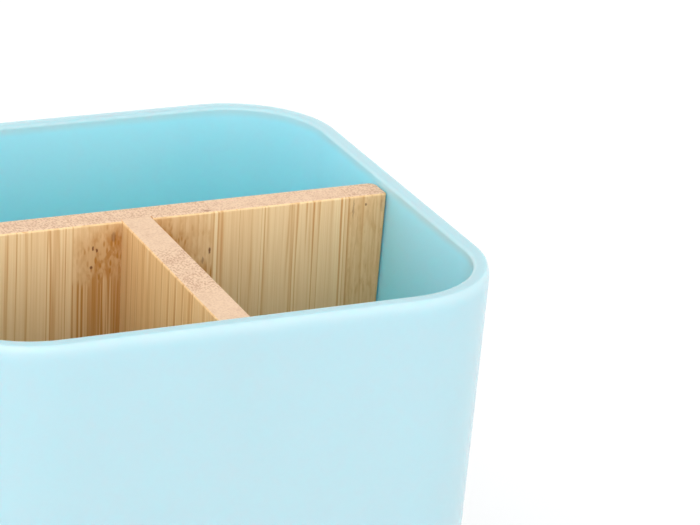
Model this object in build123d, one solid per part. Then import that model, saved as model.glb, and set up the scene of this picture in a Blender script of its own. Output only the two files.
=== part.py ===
from build123d import *
import math
import os

# Square pen cup with a lift-out bamboo divider.  Millimetres, +Z up.
# Origin: middle of the base, on the surface the cup stands on.  -Y is the front.

# Cup shell, sizes at the plane of the rim
rim_width = 90.0            # outside, along X
rim_depth = 90.0            # outside, along Y
cup_height = 100.0
corner_radius = 17.8        # outside, upright corners
wall_draft = 2.06           # degrees that each wall leans in, going down
wall_thickness = 2.6
lip_outer_radius = 0.7
lip_flat = 1.3              # level land left between the two lip roundings

# Cup base
floor_thickness = 3.2
floor_fillet = 3.0          # inside, wall to floor
base_fillet = 4.0           # outside, wall to underside
foot_width = 3.0            # flat ring that the cup stands on
foot_height = 0.8           # depth of the recess inside that ring
foot_draft = 30.0           # degrees that the recess wall leans
gate_radius = 3.0           # dimple around the moulding gate
gate_depth = 0.5
gate_stub_radius = 0.8
gate_stub_height = 0.3

# Bamboo divider: a main board from side to side, and a cross board from it to the front wall
board_thickness = 5.1
main_board_y = 3.0          # middle of the main board
cross_board_x = 0.0         # middle of the cross board
divider_drop = 1.4          # rim down to the top of the boards
housing_depth = 0.8         # how far the cross board is let into the main board
end_gap = 0.12              # board end to wall, measured level
corner_relief = 1.0         # how much rounder a board's lower corner is than the floor fillet
edge_easing = 0.35          # sanded arrises

# The boards are glued up from upright strips
strip_width = 23.1
narrowest_strip = 2.0       # a seam nearer than this to a board's end is left out
main_seam_x = 12.6          # one seam of the main board; the others follow at strip_width
cross_seam_y = -22.9        # one seam of the cross board

# Worked out from the sizes above
lean = math.tan(math.radians(wall_draft))
lip_inner_radius = wall_thickness - lip_flat - lip_outer_radius
floor_z = foot_height + floor_thickness
board_top_z = cup_height - divider_drop
board_corner_radius = floor_fillet + corner_relief
main_front_y = main_board_y - board_thickness / 2
cross_back_y = main_front_y + housing_depth


def wall_inset(z):
    """How far each wall has leaned in at height z, compared with the rim."""
    return (cup_height - z) * lean


def board_reach(rim_size, z):
    """From the cup's middle to the end of a board at height z, across a rim of rim_size."""
    return rim_size / 2 - wall_thickness - wall_inset(z) - end_gap


def tapered_block(width, depth, radius, top_z, bottom_z):
    """A rounded square block that keeps the walls' draft from top_z down to bottom_z."""
    downwards = Plane(origin=(0, 0, top_z), x_dir=(1, 0, 0), z_dir=(0, 0, -1))
    outline = downwards * RectangleRounded(width, depth, radius)
    return extrude(outline, amount=top_z - bottom_z, taper=wall_draft)


def round_lip(shell):
    """Rounds the rim outside and inside, which leaves a narrow level land between."""
    land = shell.faces().sort_by(Axis.Z)[-1]
    shell = fillet(land.outer_wire().edges(), lip_outer_radius)
    land = shell.faces().sort_by(Axis.Z)[-1]
    return fillet(land.inner_wires()[0].edges(), lip_inner_radius)


def foot_recess():
    """The shallow hollow of the underside, which leaves a ring to stand on."""
    reach = wall_inset(0) + base_fillet + foot_width
    outline = RectangleRounded(rim_width - 2 * reach, rim_depth - 2 * reach, corner_radius - reach)
    return extrude(outline, amount=foot_height, taper=foot_draft)


def gate_dimple():
    """The hollow left around the moulding gate, less the stub of plastic standing in it."""
    dimple = extrude(Circle(gate_radius), amount=foot_height + gate_depth)
    stub_top = Plane.XY.offset(foot_height + gate_depth - gate_stub_height)
    return dimple - extrude(stub_top * Circle(gate_stub_radius), amount=gate_stub_height)


def cup_shell():
    """The moulded cup: drafted walls, a rolled lip, rounded floor and a foot ring."""
    outside = tapered_block(rim_width, rim_depth, corner_radius, cup_height, 0)
    outside = fillet(outside.faces().sort_by(Axis.Z)[0].edges(), base_fillet)
    inner_width = rim_width - 2 * wall_thickness
    inner_depth = rim_depth - 2 * wall_thickness
    inner_radius = corner_radius - wall_thickness
    cavity = tapered_block(inner_width, inner_depth, inner_radius, cup_height, floor_z)
    cavity = fillet(cavity.faces().sort_by(Axis.Z)[0].edges(), floor_fillet)
    return round_lip(outside - cavity) - foot_recess() - gate_dimple()


def eased(board, joint_face=None):
    """Takes the sharp arrises off a board, apart from those of a face that is glued."""
    glued = joint_face.edges() if joint_face else []
    sharp = [edge for edge in board.edges() if edge.length > edge_easing and edge not in glued]
    return fillet(sharp, edge_easing)


def main_board():
    """The board from side wall to side wall, with a housing for the cross board."""
    top_reach = board_reach(rim_width, board_top_z)
    floor_reach = board_reach(rim_width, floor_z)
    corners = [
        (-floor_reach, floor_z),
        (floor_reach, floor_z),
        (top_reach, board_top_z),
        (-top_reach, board_top_z),
    ]
    back = Plane(origin=(0, main_board_y + board_thickness / 2, 0), x_dir=(1, 0, 0), z_dir=(0, -1, 0))
    face = make_face(back * Polyline(corners, close=True))
    board = extrude(face, amount=board_thickness, dir=(0, -1, 0))
    lower = board.edges().filter_by(Axis.Y).sort_by(Axis.Z)[:2]
    board = eased(fillet(lower, board_corner_radius))
    housing = Pos(cross_board_x, main_front_y, 0) * Box(
        board_thickness, housing_depth, cup_height, align=(Align.CENTER, Align.MIN, Align.MIN)
    )
    return board - housing


def cross_board():
    """The board from the main board's housing forward to the front wall."""
    corners = [
        (-board_reach(rim_depth, floor_z), floor_z),
        (cross_back_y, floor_z),
        (cross_back_y, board_top_z),
        (-board_reach(rim_depth, board_top_z), board_top_z),
    ]
    side = Plane(origin=(cross_board_x - board_thickness / 2, 0, 0), x_dir=(0, 1, 0), z_dir=(1, 0, 0))
    face = make_face(side * Polyline(corners, close=True))
    board = extrude(face, amount=board_thickness, dir=(1, 0, 0))
    lower_front = board.edges().filter_by(Axis.X).group_by(Axis.Z)[0].sort_by(Axis.Y)[0]
    board = fillet(lower_front, board_corner_radius)
    return eased(board, board.faces().sort_by(Axis.Y)[-1])


def seam_places(low, high, seam):
    """Every seam at strip_width from the one given, on a board that runs from low to high."""
    low = low + narrowest_strip
    high = high - narrowest_strip
    first = seam - strip_width * math.floor((seam - low) / strip_width)
    count = math.ceil((high - first) / strip_width)
    return [first + number * strip_width for number in range(count)]


def strips(board, axis, low, high, seam):
    """Cuts a board that runs from low to high at its seams into strips, in that order."""
    remaining = board
    pieces = []
    for place in seam_places(low, high, seam):
        cut = Plane(origin=axis.direction * place, z_dir=axis.direction)
        pieces.append(split(remaining, bisect_by=cut, keep=Keep.BOTTOM))
        remaining = split(remaining, bisect_by=cut, keep=Keep.TOP)
    return pieces + [remaining]


def all_parts():
    """Every piece by its name."""
    side_end = board_reach(rim_width, board_top_z)
    front_end = -board_reach(rim_depth, board_top_z)
    boards = {
        "main_board": strips(main_board(), Axis.X, -side_end, side_end, main_seam_x),
        "cross_board": strips(cross_board(), Axis.Y, front_end, cross_back_y, cross_seam_y),
    }
    parts = {"cup_shell": cup_shell()}
    for board, pieces in boards.items():
        for number, piece in enumerate(pieces, 1):
            parts[f"{board}_strip_{number}"] = piece
    return parts


os.makedirs("parts", exist_ok=True)
for name, part in all_parts().items():
    export_step(part, f"parts/{name}.step")
    print(name, round(part.volume), part.bounding_box())
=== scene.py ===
"""Looks of a square pen cup with a lift-out bamboo divider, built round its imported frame.

The cup's moulded shell and each bamboo strip of the divider are worked out as surfaces in
millimetres, in the frame's own axes: +Z up, -Y the front, origin under the middle of the base.
"""
import logging
import math
from dataclasses import dataclass
from enum import Enum
from typing import Any, Callable, Mapping, Sequence, Union

import bmesh
import bpy
import numpy as np
from mathutils import Matrix, Vector


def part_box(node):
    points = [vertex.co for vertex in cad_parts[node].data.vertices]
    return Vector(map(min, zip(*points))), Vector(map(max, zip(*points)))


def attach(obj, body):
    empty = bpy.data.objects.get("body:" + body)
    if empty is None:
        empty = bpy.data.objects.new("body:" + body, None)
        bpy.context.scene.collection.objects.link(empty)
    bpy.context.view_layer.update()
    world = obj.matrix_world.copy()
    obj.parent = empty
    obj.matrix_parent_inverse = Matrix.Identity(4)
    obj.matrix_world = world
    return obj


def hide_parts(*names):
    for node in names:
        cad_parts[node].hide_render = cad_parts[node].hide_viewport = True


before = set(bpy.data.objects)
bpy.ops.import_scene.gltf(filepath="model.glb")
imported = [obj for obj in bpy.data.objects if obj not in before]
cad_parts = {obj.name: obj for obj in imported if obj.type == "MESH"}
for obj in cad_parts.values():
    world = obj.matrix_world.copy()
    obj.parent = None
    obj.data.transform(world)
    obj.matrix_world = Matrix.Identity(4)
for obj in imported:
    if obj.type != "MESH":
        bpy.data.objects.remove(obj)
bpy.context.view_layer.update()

LOG = logging.getLogger("pen_cup")
MM = 0.001
MERGE_MM = 0.002            # points closer than this are one point
SHARP_DEGREES = 35.0        # faces that meet at more than this keep a sharp edge
SLIVER_MM = 0.02            # the least width left between two ends

Colour = tuple[float, float, float]


def srgb(red: int, green: int, blue: int) -> Colour:
    """Turns a display colour into the linear colour that a shader wants.

    Args:
        red, green, blue: the colour as shown, 0 to 255.

    Returns:
        The linear colour. Each channel is c / 12.92 near black and ((c + 0.055) / 1.055) ** 2.4 above.
    """
    shown = np.array([red, green, blue]) / 255.0
    linear = np.where(shown <= 0.04045, shown / 12.92, ((shown + 0.055) / 1.055) ** 2.4)
    return tuple(float(channel) for channel in linear)


# --------------------------------------------------------------------------- shader building


class Value:
    """A number that varies over a surface: a shader socket with arithmetic on it."""

    def __init__(self, sheet: "ShaderSheet", socket: bpy.types.NodeSocket) -> None:
        """Wraps a socket of one of the sheet's nodes."""
        self.sheet = sheet
        self.socket = socket

    def _maths(self, operation: str, first: "Operand", second: "Operand") -> "Value":
        """Adds a Math node that works on two operands."""
        node = self.sheet.node("ShaderNodeMath", {"operation": operation}, {0: first, 1: second})
        return Value(self.sheet, node.outputs[0])

    def __add__(self, other: "Operand") -> "Value":
        """self + other."""
        return self._maths("ADD", self, other)

    def __radd__(self, other: float) -> "Value":
        """other + self."""
        return self._maths("ADD", other, self)

    def __sub__(self, other: "Operand") -> "Value":
        """self - other."""
        return self._maths("SUBTRACT", self, other)

    def __rsub__(self, other: float) -> "Value":
        """other - self."""
        return self._maths("SUBTRACT", other, self)

    def __mul__(self, other: "Operand") -> "Value":
        """self * other."""
        return self._maths("MULTIPLY", self, other)

    def __rmul__(self, other: float) -> "Value":
        """other * self."""
        return self._maths("MULTIPLY", other, self)

    def __abs__(self) -> "Value":
        """The size of self, without its sign."""
        return self._maths("ABSOLUTE", self, 0.0)

    def power(self, exponent: float) -> "Value":
        """self to a power."""
        return self._maths("POWER", self, exponent)

    def lesser(self, other: "Operand") -> "Value":
        """The smaller of self and other."""
        return self._maths("MINIMUM", self, other)

    def greater(self, other: "Operand") -> "Value":
        """The larger of self and other."""
        return self._maths("MAXIMUM", self, other)

    def ramp(self, start: float, end: float) -> "Value":
        """A smooth step from 0 at start to 1 at end; end may be below start.

        Args:
            start: where the step leaves 0.
            end: where the step reaches 1.

        Returns:
            3 t^2 - 2 t^3 with t the share of the way from start to end, held to 0..1.
        """
        low, high = min(start, end), max(start, end)
        values = {"Value": self, "From Min": low, "From Max": high}
        node = self.sheet.node("ShaderNodeMapRange", {"interpolation_type": "SMOOTHSTEP"}, values)
        rising = Value(self.sheet, node.outputs["Result"])
        return rising if end > start else 1.0 - rising


Operand = Union[Value, float]


class Tint:
    """A colour that varies over a surface."""

    def __init__(self, sheet: "ShaderSheet", socket: bpy.types.NodeSocket) -> None:
        """Wraps a colour socket of one of the sheet's nodes."""
        self.sheet = sheet
        self.socket = socket

    def mixed(self, other: "Paint", amount: Operand) -> "Tint":
        """self with some of another colour, 0 to 1, laid over it."""
        return self.sheet.mix(self, other, amount)


Paint = Union[Tint, Colour]


class ShaderSheet:
    """A node tree, emptied, and the ways to add to it."""

    def __init__(self, tree: bpy.types.NodeTree) -> None:
        """Empties the tree."""
        self.tree = tree
        self.tree.nodes.clear()

    def node(
        self, kind: str, settings: Mapping[str, Any] | None = None, values: Mapping[Any, Any] | None = None
    ) -> bpy.types.Node:
        """Adds a node.

        Args:
            kind: the node's type.
            settings: its properties, set first.
            values: numbers, colours or links for its sockets, by name, identifier or number.

        Returns:
            The node.
        """
        node = self.tree.nodes.new(kind)
        for name, setting in (settings or {}).items():
            setattr(node, name, setting)
        for name, value in (values or {}).items():
            self.feed(self.socket(node, name), value)
        return node

    @staticmethod
    def socket(node: bpy.types.Node, name: Union[str, int]) -> bpy.types.NodeSocket:
        """The node's input of that name, identifier or number."""
        if isinstance(name, int):
            return node.inputs[name]
        return next(one for one in node.inputs if name in (one.identifier, one.name) and one.enabled)

    def feed(self, socket: bpy.types.NodeSocket, value: Any) -> None:
        """Links a Value, Tint or socket to an input, or sets a number or colour on it."""
        if isinstance(value, (Value, Tint)):
            value = value.socket
        if isinstance(value, bpy.types.NodeSocket):
            self.tree.links.new(value, socket)
        elif socket.type == "RGBA":
            socket.default_value = (*value, 1.0)
        else:
            socket.default_value = value

    def mix(self, under: Paint, over: Paint, amount: Operand) -> Tint:
        """Lays one colour over another by an amount, through a Mix node."""
        settings = {"data_type": "RGBA", "blend_type": "MIX", "clamp_factor": True}
        values = {"Factor_Float": amount, "A_Color": under, "B_Color": over}
        node = self.node("ShaderNodeMix", settings, values)
        return Tint(self, next(one for one in node.outputs if one.identifier == "Result_Color"))

    def place(self) -> "Place":
        """The point on the surface, in millimetres, in the piece's own axes."""
        coordinates = self.node("ShaderNodeTexCoord")
        values = {0: coordinates.outputs["Object"], "Scale": 1 / MM}
        scaled = self.node("ShaderNodeVectorMath", {"operation": "SCALE"}, values)
        return Place(self, scaled.outputs[0])

    def facing(self) -> "Place":
        """The surface's own direction, in the piece's axes."""
        return Place(self, self.node("ShaderNodeTexCoord").outputs["Normal"])

    def bump(self, height: Value, strength: float, distance_mm: float) -> bpy.types.NodeSocket:
        """A normal that follows a height.

        Args:
            height: the relief, in shares of distance_mm.
            strength: how much of it shows, 0 to 1.
            distance_mm: how high the relief stands.

        Returns:
            The Bump node's output, for the shader's Normal.
        """
        values = {"Height": height, "Strength": strength, "Distance": distance_mm * MM}
        return self.node("ShaderNodeBump", {}, values).outputs[0]


class FinishSheet(ShaderSheet):
    """One material's node tree, with a Principled shader on its output."""

    def __init__(self, name: str) -> None:
        """Starts the material."""
        self.material = bpy.data.materials.new(name)
        self.material.use_nodes = True
        super().__init__(self.material.node_tree)
        self.shader = self.node("ShaderNodeBsdfPrincipled")
        self.node("ShaderNodeOutputMaterial", {}, {"Surface": self.shader.outputs[0]})

    def dress(self, **values: Any) -> None:
        """Sets or links the shader's sockets, with a space for each underscore in their names."""
        for name, value in values.items():
            self.feed(self.socket(self.shader, name.replace("_", " ")), value)


class Place:
    """A point or direction that a pattern is read at."""

    def __init__(self, sheet: ShaderSheet, socket: bpy.types.NodeSocket) -> None:
        """Wraps a vector socket."""
        self.sheet = sheet
        self.socket = socket

    def parts(self) -> tuple[Value, Value, Value]:
        """Its X, Y and Z."""
        node = self.sheet.node("ShaderNodeSeparateXYZ", {}, {0: self.socket})
        return tuple(Value(self.sheet, one) for one in node.outputs)

    def stretched(self, scale: Sequence[float], shift: Sequence[float] = (0.0, 0.0, 0.0)) -> "Place":
        """The place times a scale for each axis, plus a shift."""
        values = {0: self.socket, 1: tuple(scale), 2: tuple(shift)}
        node = self.sheet.node("ShaderNodeVectorMath", {"operation": "MULTIPLY_ADD"}, values)
        return Place(self.sheet, node.outputs[0])

    def pushed(self, push: "Place", amounts: Sequence[float]) -> "Place":
        """The place plus another times an amount for each axis."""
        values = {0: push.socket, 1: tuple(amounts), 2: self.socket}
        node = self.sheet.node("ShaderNodeVectorMath", {"operation": "MULTIPLY_ADD"}, values)
        return Place(self.sheet, node.outputs[0])

    def length(self) -> Value:
        """Its distance from the origin."""
        node = self.sheet.node("ShaderNodeVectorMath", {"operation": "LENGTH"}, {0: self.socket})
        return Value(self.sheet, node.outputs["Value"])

    def noise(self, detail: float = 2.0, roughness: float = 0.5, distortion: float = 0.0) -> Value:
        """Soft noise, 0 to 1 with its middle at 0.5."""
        return Value(self.sheet, self._noise_node(detail, roughness, distortion).outputs[0])

    def drift(self) -> "Place":
        """A noise in three directions, each about 0 to 1."""
        return Place(self.sheet, self._noise_node(1.0, 0.5, 0.0).outputs[1])

    def _noise_node(self, detail: float, roughness: float, distortion: float) -> bpy.types.Node:
        """The Noise node that noise and drift read."""
        values = {"Vector": self.socket, "Scale": 1.0, "Detail": detail}
        values |= {"Roughness": roughness, "Distortion": distortion}
        return self.sheet.node("ShaderNodeTexNoise", {}, values)

    def cells(self) -> tuple[Value, Value]:
        """(distance to the nearest scattered point, a random number for that point)."""
        values = {"Vector": self.socket, "Scale": 1.0, "Randomness": 1.0}
        node = self.sheet.node("ShaderNodeTexVoronoi", {"feature": "F1"}, values)
        split = self.sheet.node("ShaderNodeSeparateXYZ", {}, {0: node.outputs["Color"]})
        return Value(self.sheet, node.outputs["Distance"]), Value(self.sheet, split.outputs[0])


# --------------------------------------------------------------------------- finishes


@dataclass(frozen=True)
class MilkyPlastic:
    """Glossy moulded plastic, slightly milky, with painted bounce light and shade in its hollow and a
    painted highlight on the rim's roundings.

    Attributes:
        outside: colour of the outer skin.
        inside: painted bounce light: the hollow's tint just under the rim, deeper than the outer skin's,
            for the light that passes from wall to wall.
        deep_shade: painted shade at the bottom of the hollow, with less red and more cyan than inside.
        deep_shade_mm: how far under the rim that painted shade is full.
        lip: colour of the painted highlight on the rim's roundings.
        fade_mm: how far under the rim the hollow has wholly taken its painted bounce tint.
        lip_highlight_mm: how far under the rim the lip's painted highlight starts, and where it is full.
        lip_highlight_share: how strong the lip's painted highlight is.
        roughness: of the gloss, on average.
        roughness_sway: how much the roughness varies.
        milkiness: how much of the light goes in and comes out elsewhere.
        bleed: how far each colour goes, as shares of bleed_mm.
        bleed_mm: how far light goes inside the plastic.
    """

    name: str = "cup_plastic"
    outside: Colour = (0.39, 0.56, 0.615)
    inside: Colour = (0.355, 0.69, 0.79)
    deep_shade: Colour = (0.20, 0.80, 0.93)
    deep_shade_mm: float = 40.0
    fade_mm: float = 2.0
    lip: Colour = (0.48, 0.58, 0.62)
    lip_highlight_mm: tuple[float, float] = (2.2, 0.4)
    lip_highlight_share: float = 0.7
    roughness: float = 0.22
    roughness_sway: float = 0.06
    milkiness: float = 0.8
    bleed: Colour = (0.4, 1.95, 2.0)
    bleed_mm: float = 2.3

    def material(
        self, hollow: Callable[[Place], Value], depth: Callable[[Place], Value]
    ) -> bpy.types.Material:
        """Builds the finish.

        Args:
            hollow: gives 1 on the surfaces of the hollow and 0 on the outer skin.
            depth: gives the millimetres under the rim.

        Returns:
            The material: the plastic's own tint outside; inside, painted bounce light that turns to
                painted shade
            towards the bottom; a painted highlight on the lip's roundings; a roughness that varies slowly,
            and a relief of slow mould waves with a fine grain.
        """
        sheet = FinishSheet(self.name)
        place = sheet.place()
        under, inner = depth(place), hollow(place)
        # painted bounce light in the hollow, deepening into painted shade towards the bottom; the outer
        # skin keeps the plastic's own tint
        lining = sheet.mix(self.inside, self.deep_shade, under.ramp(0.0, self.deep_shade_mm))
        tint = sheet.mix(self.outside, lining, inner * under.ramp(0.0, self.fade_mm))
        _, _, up = sheet.facing().parts()
        # painted highlight on the lip's roundings, weaker on the flat top and on the inner side
        lip_highlight = under.ramp(*self.lip_highlight_mm) * (1.0 - 0.4 * inner) * (1.0 - 0.5 * up.ramp(0.6, 0.95))
        tint = tint.mixed(self.lip, self.lip_highlight_share * lip_highlight)
        waves = place.stretched((0.045, 0.045, 0.03), (7.0, 3.0, 1.0)).noise(1.0)
        grain = place.stretched((1.6, 1.6, 1.6)).noise(2.0)
        handling = place.stretched((0.09, 0.09, 0.06), (2.0, 9.0, 4.0)).noise(1.0)
        roughness = self.roughness + self.roughness_sway * (handling - 0.5)
        relief = waves + 0.004 * grain
        sheet.dress(
            Base_Color=tint,
            Roughness=roughness,
            IOR=1.5,
            Subsurface_Weight=self.milkiness,
            Subsurface_Radius=self.bleed,
            Subsurface_Scale=self.bleed_mm * MM,
            Normal=sheet.bump(relief, 0.2, 0.3),
        )
        return sheet.material


class Figure(Enum):
    """What shows in a bamboo strip besides its straight fibres."""

    PLAIN = "plain"
    KNUCKLE = "knuckle"
    FEATHERED = "feathered"


@dataclass(frozen=True)
class Mark:
    """A small dark blemish: an ellipsoid in the wood, in millimetres."""

    middle: tuple[float, float, float]
    radii: tuple[float, float, float]
    strength: float = 1.0

    def amount(self, place: Place) -> Value:
        """How much of it shows at a place: full within 0.45 of its radii, none beyond them."""
        scale = tuple(1 / radius for radius in self.radii)
        shift = tuple(-centre / radius for centre, radius in zip(self.middle, self.radii))
        return place.stretched(scale, shift).length().ramp(1.0, 0.45) * self.strength


@dataclass(frozen=True)
class Bamboo:
    """A strip of flat-pressed bamboo: upright fibres, dotted where they are cut across.

    Attributes:
        seed: moves the pattern, so that no two strips match.
        face: the ground colour along the fibres.
        fibre: the colour of the dark fibres.
        pale: the colour of the light fibres.
        low_shade: painted shade, darker and warmer, that grows towards the bottom of the cup.
        lines: how strongly the thin dark fibres stand out.
        pitch: how close the fibres stand, as a share of the usual.
        end: the ground colour of the cut ends.
        pore: the colour of the dots in them.
        pores: how strongly those dots stand out.
        crowded_y: where along Y the dots are densest, or None where they are even.
        brown: the colour of the figure.
        umber: the colour of the marks.
        arris_highlight: the colour of the painted highlight along the top arris.
        arris: how strongly that painted highlight stands out.
        figure: knuckle or other figure in the strip.
        knuckle_z: height below which a knuckle's strip turns brown.
        marks: single dark blemishes.
        roughness: of the upright faces.
        glue_mm: half the width of a glue line, at its faint edge and at its full colour.
        cut_slope: how far up a face points where the cut end's dots start, and where they are full.
    """

    name: str
    seed: float
    face: Colour = srgb(240, 204, 156)
    fibre: Colour = srgb(202, 140, 76)
    pale: Colour = srgb(248, 220, 176)
    low_shade: Colour = srgb(214, 152, 92)
    lines: float = 0.7
    pitch: float = 1.0
    end: Colour = srgb(229, 197, 165)
    pore: Colour = srgb(178, 132, 104)
    pores: float = 0.70
    crowded_y: float | None = None
    brown: Colour = srgb(188, 124, 52)
    umber: Colour = srgb(112, 50, 8)
    arris_highlight: Colour = srgb(252, 222, 166)
    arris: float = 0.45
    figure: Figure = Figure.PLAIN
    knuckle_z: float = 89.5
    marks: tuple[Mark, ...] = ()
    roughness: float = 0.5
    glue_mm: tuple[float, float] = (0.16, 0.04)
    cut_slope: tuple[float, float] = (0.75, 0.95)

    def material(self, seams: Sequence[float], seam_axis: int) -> bpy.types.Material:
        """Builds the finish.

        Args:
            seams: where the strip is glued to its neighbours, in millimetres.
            seam_axis: 0 if the seams are places along X, and 1 along Y.

        Returns:
            The material. Fibres are patterns in plan that are stretched far along Z, so they are
            lines on the upright faces, and the cut ends show scattered dots in their stead.
        """
        sheet = FinishSheet(self.name)
        spot = sheet.place()
        place = spot.stretched((1.0, 1.0, 1.0), (self.seed * 37.0, self.seed * 23.0, 0.0))
        wander = place.stretched((0.08, 0.08, 0.03)).drift()
        place = place.pushed(wander, (0.6, 0.6, 0.0))
        _, _, up = sheet.facing().parts()
        cut = abs(up).ramp(*self.cut_slope)
        fine = place.stretched((4.5, 4.5, 0.05)).noise(2.0, 0.6)
        dots = self._dots(place, spot)
        ground = self._fibres(sheet, place, fine)
        # painted shade: the strips turn darker and warmer towards the bottom of the cup
        ground = ground.mixed(self.low_shade, 0.24 * spot.parts()[2].ramp(96.0, 70.0))
        ground = ground.mixed(self.brown, self._figure_amount(place, spot))
        # painted highlight along the eased top arris, broken up by noise
        highlight_breakup = place.stretched((0.8, 0.8, 0.8)).noise(1.0).ramp(0.3, 0.6)
        ground = ground.mixed(self.arris_highlight, self.arris * up.ramp(0.10, 0.40) * (0.4 + 0.6 * highlight_breakup))
        cloudy = place.stretched((0.5, 0.5, 0.5)).noise(2.0)
        end = sheet.mix(self.end, self.pore, self.pores * dots + 0.16 * cloudy.ramp(0.45, 0.75))
        tint = ground.mixed(end, cut)
        rough_spot = spot.pushed(place.stretched((2.0, 2.0, 2.0)).drift(), (0.3, 0.3, 0.3))
        rough_spot = rough_spot.stretched((1.0, 1.0, 1.0), (-0.15, -0.15, -0.15))
        for mark in self.marks:
            tint = tint.mixed(self.umber, mark.amount(rough_spot))
        along = spot.parts()[seam_axis]
        for seam in seams:
            tint = tint.mixed(self.brown, (0.35 - 0.25 * cut) * abs(along - seam).ramp(*self.glue_mm))
        relief = 0.5 * fine + 0.5 * dots * cut
        sheet.dress(
            Base_Color=tint,
            Roughness=self.roughness + 0.15 * cut + 0.1 * fine,
            IOR=1.45,
            Normal=sheet.bump(relief, 0.3, 0.05),
        )
        return sheet.material

    def _fibres(self, sheet: ShaderSheet, place: Place, fine: Value) -> Tint:
        """The long grain: slow bands, close streaks, thin dark and light lines and a fine hair.

        A thin line lies where a stretched noise passes its middle value.
        """
        close = self.pitch
        bands = place.stretched((0.25, 0.25, 0.005)).noise(1.0)
        streaks = place.stretched((2.6 * close, 2.6 * close, 0.010), (3.0, 4.0, 0.0)).noise(2.0, 0.6)
        level = place.stretched((1.6 * close, 1.6 * close, 0.005), (5.0, 8.0, 0.0)).noise(0.0)
        strength = place.stretched((0.6, 0.6, 0.02), (2.0, 6.0, 0.0)).noise(2.0).ramp(0.38, 0.62)
        dark = abs(level - 0.5).ramp(0.12, 0.03) * strength
        light = abs(level - 0.68).ramp(0.08, 0.03) * strength
        amount = 0.08 * bands.ramp(0.35, 0.70) + 0.16 * streaks.ramp(0.42, 0.66)
        amount = amount + 0.16 * fine.ramp(0.35, 0.75)
        ground = sheet.mix(self.face, self.fibre, (amount + self.lines * dark).lesser(1.0))
        return ground.mixed(self.pale, self.lines * 0.5 * light)

    def _dots(self, place: Place, spot: Place) -> Value:
        """Cut fibre bundles: scattered dots of uneven strength, thinned out away from crowded_y."""
        near, chance = place.stretched((3.0, 2.6, 0.02)).cells()
        dots = near.ramp(0.66, 0.28) * (0.55 + 0.45 * chance)
        if self.crowded_y is None:
            return dots
        return dots * (0.35 + 0.65 * abs(spot.parts()[1] - self.crowded_y).ramp(9.0, 5.0))

    def _figure_amount(self, place: Place, spot: Place) -> Operand:
        """How much brown the strip's figure adds, 0 to 1.

        A knuckle's strip is mottled and dashed above knuckle_z and striped brown below it. A
        feathered strip has long soft blotches.
        """
        if self.figure is Figure.PLAIN:
            return 0.0
        blotches = place.stretched((0.7, 0.7, 0.30), (1.0, 2.0, 3.0)).noise(3.0, 0.6, 0.5)
        if self.figure is Figure.FEATHERED:
            feathers = place.stretched((1.4, 1.4, 0.22)).noise(3.0, 0.6, 0.8)
            return 0.04 + 0.32 * feathers.ramp(0.45, 0.66) + 0.18 * blotches.ramp(0.45, 0.7)
        across, _, up = spot.parts()
        fingers = place.stretched((1.1, 1.1, 0.05)).noise(2.0)
        height = up + 5.0 * (fingers - 0.5)
        below = height.ramp(self.knuckle_z + 1.0, self.knuckle_z - 1.0)
        under_top = 0.5 + 0.5 * height.ramp(self.knuckle_z + 8.5, self.knuckle_z + 5.5)
        inward = 0.30 + 0.70 * across.ramp(13.0, 5.0) * across.ramp(-10.8, -6.0)
        dashes, chance = place.stretched((1.7, 1.7, 0.55)).cells()
        dashed = dashes.ramp(0.42, 0.14) * chance.ramp(0.30, 0.55)
        stripes = place.stretched((1.3, 1.3, 0.008), (9.0, 1.0, 0.0)).noise(2.0, 0.6)
        veins = abs(stripes - 0.44).ramp(0.07, 0.025)
        mottled = 0.50 + 0.40 * blotches.ramp(0.42, 0.62) + 0.45 * dashed
        striped = 0.95 - 0.35 * stripes.ramp(0.50, 0.64) - 0.70 * veins
        return (mottled * under_top * inward * (1 - below) + striped * below).lesser(1.0)


# --------------------------------------------------------------------------- surfaces


def grid_quads(rows: int, columns: int) -> np.ndarray:
    """Four-sided faces of a grid whose columns close on themselves.

    Args:
        rows: number of rings.
        columns: number of points in each ring.

    Returns:
        One row of four point numbers a face: each face joins point (row, column) to the next
        column, the next row and the next of both, with column numbers taken modulo columns.
    """
    row = np.arange(rows - 1)[:, None] * columns
    column = np.arange(columns)[None, :]
    after = (column + 1) % columns
    corners = [row + column, row + after, row + columns + after, row + columns + column]
    return np.stack(np.broadcast_arrays(*corners), -1).reshape(-1, 4)


def roll(start: Sequence[float], corner: Sequence[float], end: Sequence[float], steps: int) -> np.ndarray:
    """Points of a rounding that leaves start towards a corner and reaches end from it.

    Args:
        start, end: where the rounding begins and ends.
        corner: where its tangents cross.
        steps: number of steps.

    Returns:
        (a * start + b * corner + c * end) / (a + b + c), where a = (1 - t)^2, b = 2 w t (1 - t),
        c = t^2 and w is the cosine of half the turn. Equal tangents give a circle's arc, and
        unequal ones an ellipse's.
    """
    first, middle, last = (np.asarray(point, float) for point in (start, corner, end))
    before, after = middle - first, last - middle
    cosine = before @ after / (np.linalg.norm(before) * np.linalg.norm(after))
    weight = math.sqrt((1 + cosine) / 2)
    t = np.linspace(0, 1, steps + 1)[:, None]
    shares = (1 - t) ** 2, 2 * weight * t * (1 - t), t**2
    return (shares[0] * first + shares[1] * middle + shares[2] * last) / sum(shares)


def straight(start: Sequence[float], end: Sequence[float], steps: int, margin: float = 0.1) -> np.ndarray:
    """Points inside a straight run: evenly spaced, with one held close to each end.

    Args:
        start, end: the run's ends, which are left out.
        steps: number of even steps.
        margin: how close to each end the extra points stand, in millimetres.

    Returns:
        start + share * (end - start) for each share.
    """
    first, last = np.asarray(start, float), np.asarray(end, float)
    close = min(margin / max(np.linalg.norm(last - first), 1e-9), 0.25)
    share = np.concatenate([[close], np.linspace(0, 1, steps + 1)[1:-1], [1 - close]])[:, None]
    return first + share * (last - first)


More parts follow.
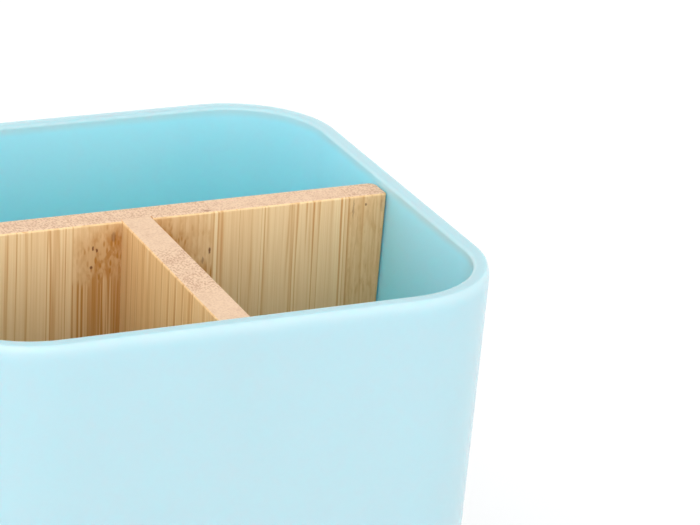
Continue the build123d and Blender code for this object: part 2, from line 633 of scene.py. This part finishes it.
def closed_mesh(name: str, rings: np.ndarray) -> bpy.types.Object:
    """Makes a closed piece from a stack of rings.

    Args:
        name: the piece's name.
        rings: points in millimetres, as rows x columns x 3; the first and last rows close the ends.

    Returns:
        The object, at the origin, with its points in metres and its faces outwards.
    """
    rows, columns, _ = rings.shape
    mesh = bpy.data.meshes.new(name)
    mesh.from_pydata((rings.reshape(-1, 3) * MM).tolist(), [], grid_quads(rows, columns).tolist())
    work = bmesh.new()
    work.from_mesh(mesh)
    bmesh.ops.remove_doubles(work, verts=work.verts, dist=MERGE_MM * MM)
    bmesh.ops.recalc_face_normals(work, faces=work.faces)
    work.to_mesh(mesh)
    work.free()
    mesh.shade_smooth()
    mesh.set_sharp_from_angle(angle=math.radians(SHARP_DEGREES))
    piece = bpy.data.objects.new(name, mesh)
    bpy.context.scene.collection.objects.link(piece)
    return piece


def finish_piece(piece: bpy.types.Object, node: str, body: str, material: bpy.types.Material) -> None:
    """Dresses a new piece and puts it in a CAD node's stead.

    Args:
        piece: the new piece.
        node: the CAD node that it stands for.
        body: the body that it rides on.
        material: its finish.
    """
    piece.data.materials.append(material)
    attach(piece, body)
    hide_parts(node)
    LOG.info("%s: %d faces, stands for %s", piece.name, len(piece.data.polygons), node)


# --------------------------------------------------------------------------- cup


@dataclass
class CupShell:
    """The moulded cup: a rounded square swept round a wall profile.

    Sizes are in millimetres, at the plane of the rim. lining_margin is how far short of the wall's inner
    face the hollow's painted bounce tint is already full. Names in columns or rows count steps of the
    grid.
    """

    rim_half: float = 45.0
    height: float = 100.0
    corner_radius: float = 17.8
    draft_degrees: float = 2.06
    wall: float = 2.6
    lip_outer: float = 0.7
    lip_fall: float = 2.3
    lip_inner: float = 0.6
    floor_z: float = 4.0
    floor_fillet: float = 3.0
    base_fillet: float = 4.0
    foot_width: float = 3.0
    foot_height: float = 0.8
    foot_draft_degrees: float = 30.0
    gate_radius: float = 3.0
    gate_depth: float = 0.5
    gate_stub_radius: float = 0.8
    gate_stub_height: float = 0.3
    lining_margin: float = 0.3
    arc_columns: int = 26
    side_columns: int = 24
    wall_rows: int = 30
    roll_rows: int = 12
    lip_rows: int = 16
    floor_roll_rows: int = 10
    finish: MilkyPlastic = MilkyPlastic()

    def inset(self, z: float) -> float:
        """How far the wall has leaned in at height z."""
        return (self.height - z) * math.tan(math.radians(self.draft_degrees))

    def outline(self, reach: float) -> np.ndarray:
        """A rounded square as one closed ring in plan.

        Args:
            reach: its corner radius; the corners' centres never move, so its sides follow.

        Returns:
            corner centre + reach * (cos a, sin a) round each corner, and straight sides between,
            their points crowded towards the corners by (1 - cos) / 2.
        """
        centre = self.rim_half - self.corner_radius
        turn = np.linspace(0, 90, self.arc_columns + 1)
        share = (1 - np.cos(np.pi * np.arange(1, self.side_columns) / self.side_columns)) / 2
        signs = np.array([[1, 1], [-1, 1], [-1, -1], [1, -1]])
        ring = []
        for quarter in range(4):
            corner = centre * signs[quarter]
            following = centre * signs[(quarter + 1) % 4]
            angle = np.radians(turn + 90 * quarter)
            bend = corner + reach * np.stack([np.cos(angle), np.sin(angle)], -1)
            outward = np.array([math.cos(angle[-1]), math.sin(angle[-1])])
            side = corner + share[:, None] * (following - corner) + reach * outward
            ring += [bend, side]
        return np.concatenate(ring)

    def disc(self, radius: float) -> np.ndarray:
        """A circle whose points lie on the same spokes as the outline's."""
        spoke = self.outline(1.0)
        return radius * spoke / np.linalg.norm(spoke, axis=1, keepdims=True)

    @staticmethod
    def level(plan: np.ndarray, z: float) -> np.ndarray:
        """A ring of plan points at one height, as 1 x columns x 3."""
        return np.concatenate([plan, np.full((len(plan), 1), z)], -1)[None]

    def swept(self, profile: np.ndarray) -> np.ndarray:
        """A ring for each (reach, z) of a profile."""
        return np.concatenate([self.level(self.outline(reach), z) for reach, z in profile])

    def spread(self, inner: np.ndarray, outer: np.ndarray, z: float, steps: int) -> np.ndarray:
        """Level rings between two plans: inner + share * (outer - inner)."""
        shares = np.linspace(0, 1, steps + 1)
        return np.concatenate([self.level(inner + share * (outer - inner), z) for share in shares])

    def underside(self) -> np.ndarray:
        """Rings from the middle of the underside out to the foot ring."""
        foot = self.corner_radius - self.inset(0) - self.base_fillet - self.foot_width
        lean = self.foot_height * math.tan(math.radians(self.foot_draft_degrees))
        dimple_z = self.foot_height + self.gate_depth
        stub_z = dimple_z - self.gate_stub_height
        rings = [
            self.spread(self.disc(0), self.disc(self.gate_stub_radius), stub_z, 3),
            self.spread(self.disc(self.gate_stub_radius), self.disc(self.gate_radius), dimple_z, 4),
            self.spread(self.disc(self.gate_radius), self.outline(foot - lean), self.foot_height, 12),
            self.swept(np.array([(foot, 0.0)])),
        ]
        return np.concatenate(rings)

    def wall_profile(self) -> np.ndarray:
        """The wall's section as (reach, z), from the foot ring over the lip to the floor.

        Returns:
            Straight drafted walls joined by roundings. The lip's outer rounding is wide by
            lip_outer and tall by lip_fall, and the others are as wide as they are tall.
        """
        inner = self.corner_radius - self.wall

        def skin(z: float) -> tuple[float, float]:
            """The outer skin's point at a height."""
            return self.corner_radius - self.inset(z), z

        def lining(z: float) -> tuple[float, float]:
            """The hollow's point at a height."""
            return inner - self.inset(z), z

        base, floor, top = skin(0.0), lining(self.floor_z), self.height
        lip_end = (skin(top)[0] - self.lip_outer, top)
        floor_start = lining(self.floor_z + self.floor_fillet)
        floor_end = (floor[0] - self.floor_fillet, self.floor_z)
        base_roll = roll((base[0] - self.base_fillet, 0.0), base, skin(self.base_fillet), self.roll_rows)
        outer_roll = roll(skin(top - self.lip_fall), skin(top), lip_end, self.lip_rows)
        inner_start = (inner + self.lip_inner, top)
        inner_roll = roll(inner_start, lining(top), lining(top - self.lip_inner), self.roll_rows)
        floor_roll = roll(floor_start, floor, floor_end, self.floor_roll_rows)
        runs = [
            base_roll,
            straight(base_roll[-1], outer_roll[0], self.wall_rows),
            outer_roll,
            inner_roll,
            straight(inner_roll[-1], floor_roll[0], self.wall_rows),
            floor_roll,
        ]
        return np.concatenate(runs)

    def build(self) -> bpy.types.Object:
        """Builds the shell as one closed surface, from the underside round the lip to the floor."""
        profile = self.wall_profile()
        floor = self.spread(self.outline(profile[-1][0]), self.disc(0), self.floor_z, 12)[1:]
        rings = np.concatenate([self.underside(), self.swept(profile), floor])
        return closed_mesh("cup", rings)

    def hollow(self, place: Place) -> Value:
        """Tells the hollow from the outer skin.

        Args:
            place: a point on the shell, in millimetres.

        Returns:
            0 outside to 1 inside, changing over the rounded lip. A point's reach is its distance
            in plan from the square through the corner centres, and the skin's follows the draft.
        """
        across, along, up = place.parts()
        centre = self.rim_half - self.corner_radius
        beyond_x = (abs(across) - centre).greater(0.0)
        beyond_y = (abs(along) - centre).greater(0.0)
        reach = (beyond_x * beyond_x + beyond_y * beyond_y).power(0.5)
        depth = self.depth(place)
        into_wall = self.corner_radius - depth * math.tan(math.radians(self.draft_degrees)) - reach
        above_floor = up.ramp(self.foot_height + self.gate_depth, self.floor_z)
        return into_wall.ramp(self.lip_outer, self.wall - self.lining_margin) * above_floor

    def depth(self, place: Place) -> Value:
        """Millimetres under the rim."""
        return self.height - place.parts()[2]

    def dress(self, piece: bpy.types.Object) -> None:
        """Gives the shell its plastic and its place."""
        finish_piece(piece, "cup_shell", "cup", self.finish.material(self.hollow, self.depth))


# --------------------------------------------------------------------------- divider


class Run(Enum):
    """The way a board runs in plan."""

    SIDE_TO_SIDE = "along X"
    BACK_TO_FRONT = "along Y"


@dataclass(frozen=True)
class BoardEnd:
    """One upright end of a strip.

    Attributes:
        place: where it stands along the board, in millimetres; for a free end, at the rim's height.
        free: true for the board's own drafted and eased end, false for a glued seam.
    """

    place: float
    free: bool = False


@dataclass
class BambooStrip:
    """One upright strip of a board, as a surface of rings stacked from bottom to top.

    Sizes are in millimetres. middle is its place across the board, low and high are its ends along
    it, and notch is the start, end and depth of a housing let into its front face. flat_margin is
    how far the points on a free end's flat stand from its roundings.
    """

    name: str
    run: Run
    middle: float
    low: BoardEnd
    high: BoardEnd
    finish: Bamboo
    notch: tuple[float, float, float] | None
    thickness: float
    bottom: float
    top: float
    easing: float = 0.35
    corner: float = 4.0
    rim_z: float = 100.0
    draft_degrees: float = 2.06
    front_round: float = 0.4
    back_round: float = 1.4
    flat_margin: float = 0.08

    def rows(self) -> tuple[np.ndarray, np.ndarray, np.ndarray]:
        """Height, inset and squeeze of each ring, from the middle of the bottom to that of the top.

        Returns:
            The easing is a quarter circle: height e * (1 - cos t) and inset e * (1 - sin t). The
            squeeze shrinks the thickness, so that the flat ends close on their middle line.
        """
        turn = np.linspace(0, np.pi / 2, 6)
        rise = self.easing * (1 - np.cos(turn))
        inset = self.easing * (1 - np.sin(turn))
        bend = self.bottom + self.corner * (1 - np.cos(np.linspace(0, np.pi / 2, 13)))
        bend = bend[bend > self.bottom + self.easing + 0.05]
        shaft = straight((bend[-1], 0.0), (self.top - self.easing, 0.0), 40)[:, 0]
        upright = np.concatenate([bend, shaft])
        squeeze = np.array([0.0, 0.3, 0.6, 0.985])
        full = np.ones(len(rise) * 2 + len(upright))
        ends = np.full(len(squeeze), self.easing)
        below, above = np.full(len(squeeze), self.bottom), np.full(len(squeeze), self.top)
        z = np.concatenate([below, self.bottom + rise, upright, self.top - rise[::-1], above])
        insets = np.concatenate([ends, inset, upright * 0, inset[::-1], ends])
        return z, insets, np.concatenate([squeeze, full, squeeze[::-1]])

    def end_place(self, end: BoardEnd, sign: int, z: np.ndarray) -> np.ndarray:
        """Where an end stands at each height.

        Args:
            end: the end.
            sign: 1 for the high end and -1 for the low one.
            z: the heights.

        Returns:
            A seam's place, or for a free end: place - sign * (lean + round), where lean follows
            the cup's draft and round = r - sqrt(r^2 - (r - h)^2) within r of the bottom.
        """
        if not end.free:
            return np.full_like(z, end.place)
        lean = (self.rim_z - z) * math.tan(math.radians(self.draft_degrees))
        short = np.clip(self.corner - (z - self.bottom), 0, self.corner)
        place = end.place - sign * (lean + self.corner - np.sqrt(self.corner**2 - short**2))
        other = self.low if sign > 0 else self.high
        room = self.easing + SLIVER_MM
        return np.maximum(place, other.place + room) if sign > 0 else np.minimum(place, other.place - room)

    def end_rounding(self, end: BoardEnd, sign: int, z: np.ndarray, radius: float) -> np.ndarray:
        """Radius in plan of an end's upright arris.

        Args:
            end, sign, z: as for end_place.
            radius: the radius where there is room for it.

        Returns:
            That radius, or less where the strip is narrow, and 0 at a seam.
        """
        other = self.low if sign > 0 else self.high
        width = abs(self.end_place(end, sign, z) - other.place)
        return end.free * np.clip(width - SLIVER_MM, self.easing, radius)

    def end_columns(
        self, end: BoardEnd, sign: int, z: np.ndarray, inset: np.ndarray
    ) -> tuple[np.ndarray, np.ndarray]:
        """Points across one end of each ring, from the front face to the back.

        Args:
            end, sign: as for end_place.
            z, inset: height and inset of each ring.

        Returns:
            (along, across), each rows x columns. A free end has a quarter circle of radius
            r - inset at each arris, about a centre r inside both faces, with r its end_rounding.
        """
        place = self.end_place(end, sign, z)[:, None]
        half = self.thickness / 2
        if not end.free:
            share = np.linspace(-1, 1, 9)[None, 1:-1]
            return place + 0 * share, (half - inset[:, None]) * share
        angle = np.linspace(0, np.pi / 2, 9)[None, :]
        front = self.end_rounding(end, sign, z, self.front_round)[:, None]
        back = self.end_rounding(end, sign, z, self.back_round)[:, None]
        eased = inset[:, None]
        sine, cosine = np.sin(angle), np.cos(angle)
        start, stop = front - half + self.flat_margin, half - back - self.flat_margin
        flat = start + np.linspace(0, 1, 5)[None, :] * (stop - start)
        front_bend, back_bend = front - eased, back - eased
        along = [front_bend * sine - front, flat * 0 - eased, back_bend * cosine - back]
        across = [front - half - front_bend * cosine, flat, half - back + back_bend * sine]
        return place + sign * np.concatenate(along, 1), np.concatenate(across, 1)

    def face_columns(self, z: np.ndarray, inset: np.ndarray) -> tuple[np.ndarray, np.ndarray]:
        """Points along the front face of each ring: (along, across), with the housing in it."""
        start = self.end_place(self.low, -1, z) + self.end_rounding(self.low, -1, z, self.front_round)
        stop = self.end_place(self.high, 1, z) - self.end_rounding(self.high, 1, z, self.front_round)
        face = inset - self.thickness / 2
        if self.notch is None:
            along = self.between(start, stop)
            return along, face[:, None] + 0 * along
        left, right, depth = self.notch
        spot = np.ones_like(z)
        runs = [self.between(start, left * spot), self.between(left * spot, right * spot)]
        along = np.concatenate([*runs, self.between(right * spot, stop)], 1)
        let_in = np.repeat([0.0, 1.0, 0.0], along.shape[1] // 3)[None, :]
        floor = depth - self.thickness / 2
        return along, face[:, None] * (1 - let_in) + floor * let_in

    @staticmethod
    def between(first: np.ndarray, last: np.ndarray) -> np.ndarray:
        """Points from first to last in each ring, with one held close to each end."""
        share = np.concatenate([[0, 0.005], np.linspace(0, 1, 15)[1:-1], [0.995, 1]])[None, :]
        return first[:, None] + share * (last - first)[:, None]

    def back_columns(self, z: np.ndarray, inset: np.ndarray) -> tuple[np.ndarray, np.ndarray]:
        """Points along the back face of each ring: (along, across)."""
        start = self.end_place(self.low, -1, z) + self.end_rounding(self.low, -1, z, self.back_round)
        stop = self.end_place(self.high, 1, z) - self.end_rounding(self.high, 1, z, self.back_round)
        along = self.between(start, stop)
        return along, (self.thickness / 2 - inset)[:, None] + 0 * along

    def build(self) -> bpy.types.Object:
        """Builds the strip as one closed surface of rings, and returns the piece."""
        z, inset, squeeze = self.rows()
        front_along, front_across = self.face_columns(z, inset)
        high_along, high_across = self.end_columns(self.high, 1, z, inset)
        low_along, low_across = self.end_columns(self.low, -1, z, inset)
        back_along, back_across = self.back_columns(z, inset)
        along = np.concatenate([front_along, high_along, back_along[:, ::-1], low_along[:, ::-1]], 1)
        across = np.concatenate([front_across, high_across, back_across, low_across[:, ::-1]], 1)
        across = self.middle + across * squeeze[:, None]
        up = z[:, None] + 0 * along
        order = [along, across, up] if self.run is Run.SIDE_TO_SIDE else [across, along, up]
        return closed_mesh(self.name, np.stack(order, -1))

    def dress(self, piece: bpy.types.Object, node: str) -> None:
        """Gives the strip its bamboo and its place."""
        seams = [end.place for end in (self.low, self.high) if not end.free]
        axis = 0 if self.run is Run.SIDE_TO_SIDE else 1
        finish_piece(piece, node, "divider", self.finish.material(seams, axis))


@dataclass
class Divider:
    """The T of bamboo boards that lifts out of the cup.

    Sizes are in millimetres. free_end is where both boards end at the rim's height, and a node that
    reaches within free_reach of it ends there. tan and warm are face colours of single strips.
    """

    free_end: float = 42.28
    free_reach: float = 1.0
    housing: float = 0.8
    tan: Colour = srgb(236, 198, 148)
    warm: Colour = srgb(236, 190, 134)

    def strips(self) -> dict[str, BambooStrip]:
        """Every strip by the CAD node that it stands for.

        Returns:
            The main board's strips from left to right, then the cross board's from the front.
            Seams come from the frame's own boxes.
        """
        # the main board's front face along Y, and its top
        front, top = 0.45, 98.6
        knots = (
            Mark((-7.2, front, 94.6), (0.26, 0.6, 0.50), 0.9),
            Mark((-6.6, front, 94.2), (0.24, 0.6, 0.42), 0.9),
            Mark((-7.45, front, 91.5), (0.28, 0.6, 0.36), 0.85),
            Mark((-3.9, front, 96.2), (0.50, 0.6, 1.10), 0.45),
            Mark((12.1, front, 92.1), (0.26, 0.6, 0.75), 0.85),
            Mark((11.0, front, 90.6), (0.26, 0.6, 0.80), 0.5),
            Mark((11.8, front + 0.7, top), (0.90, 0.5, 0.50), 0.45),
        )
        specks = (
            Mark((38.6, front, 97.0), (0.26, 0.6, 0.32), 0.7),
            Mark((36.5, front, 96.4), (0.20, 0.6, 2.00), 0.35),
            Mark((41.4, front + 0.6, 96.6), (0.50, 1.0, 2.20), 0.35),
        )
        finishes = {
            "main_board_strip_1": Bamboo("bamboo_main_1", 1.0),
            "main_board_strip_2": Bamboo("bamboo_main_2", 2.0),
            "main_board_strip_3": Bamboo(
                "bamboo_main_3", 3.0, figure=Figure.KNUCKLE, lines=0.3, marks=knots
            ),
            "main_board_strip_4": Bamboo("bamboo_main_4", 4.0, pores=0.45),
            "main_board_strip_5": Bamboo(
                "bamboo_main_5", 5.0, face=self.tan, figure=Figure.FEATHERED, lines=0.4, marks=specks
            ),
            "cross_board_strip_1": Bamboo(
                "bamboo_cross_1", 6.0, face=self.warm, pitch=1.3, crowded_y=-22.0, arris=0.25
            ),
            "cross_board_strip_2": Bamboo(
                "bamboo_cross_2", 7.0, face=self.warm, pitch=1.3, crowded_y=-19.0, arris=0.25
            ),
        }
        return {node: self.strip(node, finish) for node, finish in finishes.items()}

    def strip(self, node: str, finish: Bamboo) -> BambooStrip:
        """The strip that stands for a CAD node, sized from that node's box.

        Args:
            node: the CAD node.
            finish: the strip's bamboo.

        Returns:
            The strip, with the board's own end where the node reaches it and a seam elsewhere.
        """
        run = Run.SIDE_TO_SIDE if node.startswith("main") else Run.BACK_TO_FRONT
        axis = 0 if run is Run.SIDE_TO_SIDE else 1
        low, high = ([value / MM for value in corner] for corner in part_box(node))
        ends = [
            BoardEnd(sign * self.free_end, True) if abs(corner[axis]) > self.free_end - self.free_reach
            else BoardEnd(corner[axis])
            for sign, corner in ((-1, low), (1, high))
        ]
        half = (high[1 - axis] - low[1 - axis]) / 2
        return BambooStrip(
            name=node.replace("strip", "stave"),
            run=run,
            middle=(low[1 - axis] + high[1 - axis]) / 2,
            low=ends[0],
            high=ends[1],
            finish=finish,
            notch=(-half, half, self.housing) if node == "main_board_strip_3" else None,
            thickness=2 * half,
            bottom=low[2],
            top=high[2],
        )

    def build(self) -> None:
        """Builds and dresses every strip."""
        for node, strip in self.strips().items():
            strip.dress(strip.build(), node)


# --------------------------------------------------------------------------- studio


@dataclass
class Studio:
    """A plain pale floor, soft light and the camera.

    Places and sizes are in millimetres, powers in watts and the camera's angles in degrees.
    """

    floor_half: float = 4000.0
    floor_colour: Colour = (0.93, 0.93, 0.93)
    floor_roughness: float = 0.9
    horizon: float = 1.9
    overhead: float = 0.7
    slant: tuple[float, float] = (-0.25, -0.35)
    aim: tuple[float, float, float] = (0.0, 0.0, 90.0)
    large_place: tuple[float, float, float] = (-1200.0, -1900.0, 1600.0)
    large_size: float = 1800.0
    large_power: float = 12.0
    small_place: tuple[float, float, float] = (900.0, -1900.0, 1450.0)
    small_size: float = 500.0
    small_power: float = 0.9
    lens: float = 164.6
    sensor: float = 36.0
    eye_from_rim: tuple[float, float, float] = (-163.8, -429.7, 179.0)
    yaw: float = 24.96
    pitch: float = 22.0
    tilt: float = 3.26

    def floor(self) -> None:
        """A large level sheet under the cup, which isn't part of the object."""
        half = self.floor_half * MM
        mesh = bpy.data.meshes.new("floor")
        corners = [(-half, -half, 0), (half, -half, 0), (half, half, 0), (-half, half, 0)]
        mesh.from_pydata(corners, [], [(0, 1, 2, 3)])
        sheet = FinishSheet("floor_paper")
        sheet.dress(Base_Color=self.floor_colour, Roughness=self.floor_roughness)
        mesh.materials.append(sheet.material)
        floor = bpy.data.objects.new("floor", mesh)
        bpy.context.scene.collection.objects.link(floor)

    def sky(self) -> None:
        """White light from all round, as in a tent.

        The light from a direction (x, y, z) is overhead * z + horizon * (1 - z), plus
        slant . (x, y), which makes the side that slant points to brighter.
        """
        world = bpy.data.worlds.new("white_tent")
        world.use_nodes = True
        sheet = ShaderSheet(world.node_tree)
        direction = Place(sheet, sheet.node("ShaderNodeTexCoord").outputs["Generated"])
        x, y, z = direction.parts()
        rise = z.greater(0.0)
        light = self.horizon + (self.overhead - self.horizon) * rise
        light = light + self.slant[0] * x + self.slant[1] * y
        background = sheet.node("ShaderNodeBackground", {}, {"Color": (1.0, 1.0, 1.0), "Strength": light})
        sheet.node("ShaderNodeOutputWorld", {}, {"Surface": background.outputs[0]})
        bpy.context.scene.world = world

    def softbox(self, name: str, place: Sequence[float], size: float, power: float) -> None:
        """A square soft light that faces the aim.

        Args:
            name: the light's name.
            place: where it hangs, in millimetres.
            size: its side, in millimetres.
            power: in watts.
        """
        light = bpy.data.lights.new(name, "AREA")
        light.shape = "SQUARE"
        light.size = size * MM
        light.energy = power
        lamp = bpy.data.objects.new(name, light)
        lamp.location = Vector(place) * MM
        towards = Vector(self.aim) * MM - lamp.location
        lamp.rotation_euler = towards.to_track_quat("-Z", "Y").to_euler()
        bpy.context.scene.collection.objects.link(lamp)

    def camera(self) -> None:
        """The view down over the front left corner.

        The camera looks along (sin yaw cos pitch, cos yaw cos pitch, -sin pitch), and its tilt
        turns it about that line.
        """
        yaw, pitch, tilt = (math.radians(angle) for angle in (self.yaw, self.pitch, self.tilt))
        level_reach = math.cos(pitch)
        ahead = Vector((math.sin(yaw) * level_reach, math.cos(yaw) * level_reach, -math.sin(pitch)))
        level = Vector((math.cos(yaw), -math.sin(yaw), 0.0))
        above = level.cross(ahead)
        right = math.cos(tilt) * level + math.sin(tilt) * above
        up = math.cos(tilt) * above - math.sin(tilt) * level
        data = bpy.data.cameras.new("camera")
        data.lens = self.lens
        data.sensor_width = self.sensor
        camera = bpy.data.objects.new("camera", data)
        rim = Vector((0, 0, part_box("cup_shell")[1].z))
        turn = Matrix((right, up, -ahead)).transposed().to_4x4()
        camera.matrix_world = Matrix.Translation(Vector(self.eye_from_rim) * MM + rim) @ turn
        bpy.context.scene.collection.objects.link(camera)
        bpy.context.scene.camera = camera

    def build(self) -> None:
        """Sets the stage, the lights and the camera."""
        self.floor()
        self.sky()
        self.softbox("large_box", self.large_place, self.large_size, self.large_power)
        self.softbox("small_box", self.small_place, self.small_size, self.small_power)
        self.camera()
        view = bpy.context.scene.view_settings
        view.view_transform = "Standard"
        view.look = "None"


def main() -> None:
    """Builds the studio, the cup and the divider, in that order."""
    logging.basicConfig(level=logging.INFO, format="%(name)s: %(message)s")
    Studio().build()
    cup = CupShell()
    cup.dress(cup.build())
    Divider().build()


if __name__ == "__main__":
    main()
